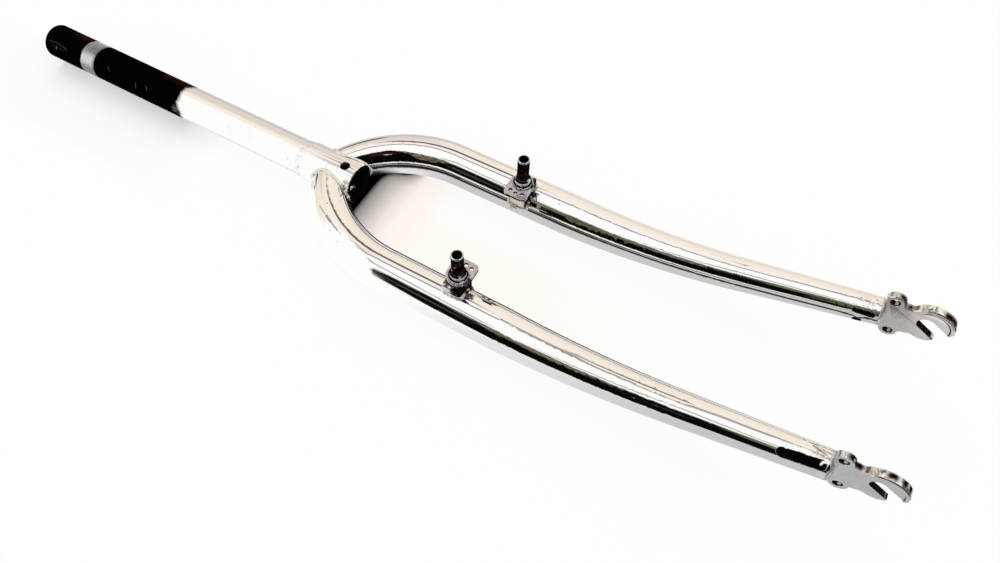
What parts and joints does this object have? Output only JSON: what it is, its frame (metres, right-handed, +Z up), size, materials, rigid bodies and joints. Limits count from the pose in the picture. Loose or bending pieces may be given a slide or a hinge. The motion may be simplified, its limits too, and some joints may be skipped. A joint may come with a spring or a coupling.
{
  "type": "rigid bicycle fork",
  "caption": "Rigid unicrown bicycle fork with a plain steerer, raked round blades, cantilever brake studs and slotted dropouts with eyelets, chrome plated.",
  "frame": {"origin": "on the steering axis at the crown race shoulder, where the race seat meets the thicker crown end", "axes": "+X across the fork to the rider's right, +Y along the steering axis from the steerer towards the wheel, +Z up out of the table, which is the front of the fork as it lies on its back"},
  "size_m": [0.129, 0.6584, 0.0727],
  "materials": {
    "steerer": "polished chrome plate, blackened at the upper end with one bare ring",
    "blade": "polished chrome plate, fine scratches and light stains",
    "weld": "plated weld bead, rippled, stained in places",
    "dropout": "satin chrome plate with dull, mottled faces",
    "brake_boss": "plated, dirty at the foot with some rust",
    "spring_plate": "plated sheet steel, grimy",
    "brake_stud": "turned steel, dark with old grease"
  },
  "bodies": {
    "root": {"steerer_tube": "steerer", "left_blade": "blade", "left_crown_weld": "weld", "left_dropout": "dropout", "left_dropout_weld": "weld", "left_brake_boss": "brake_boss", "left_boss_weld": "weld", "left_spring_plate": "spring_plate", "left_brake_stud": "brake_stud", "right_blade": "blade", "right_crown_weld": "weld", "right_dropout": "dropout", "right_dropout_weld": "weld", "right_brake_boss": "brake_boss", "right_boss_weld": "weld", "right_spring_plate": "spring_plate", "right_brake_stud": "brake_stud"}
  },
  "joints": []
}
